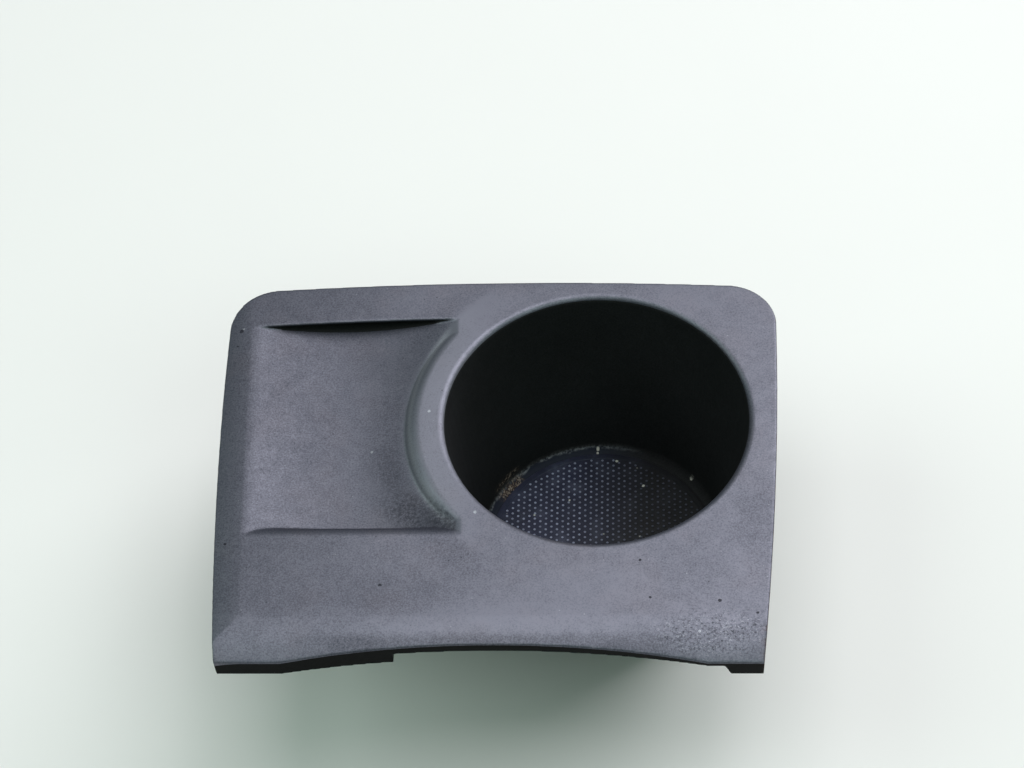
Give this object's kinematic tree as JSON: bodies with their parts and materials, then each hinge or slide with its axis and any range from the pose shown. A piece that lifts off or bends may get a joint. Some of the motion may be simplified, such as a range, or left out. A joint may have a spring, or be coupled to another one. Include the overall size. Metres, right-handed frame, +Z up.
{
  "type": "car cup holder",
  "caption": "Moulded console insert with a round cup well, a shallow scooped tray and a loose anti-slip mat on the well's floor.",
  "frame": {"origin": "centre of the cup well's flat underside, which the part stands on", "axes": "+Z up along the well's axis, +Y towards the panel's rear edge, +X towards the side without the tray"},
  "size_m": [0.142, 0.1136, 0.062],
  "materials": {
    "moulding": "fine-grained matte, worn and dusty",
    "anti_slip_mat": "matte with small raised dots"
  },
  "bodies": {
    "root": {"moulding": "moulding", "anti_slip_mat": "anti_slip_mat"}
  },
  "joints": []
}
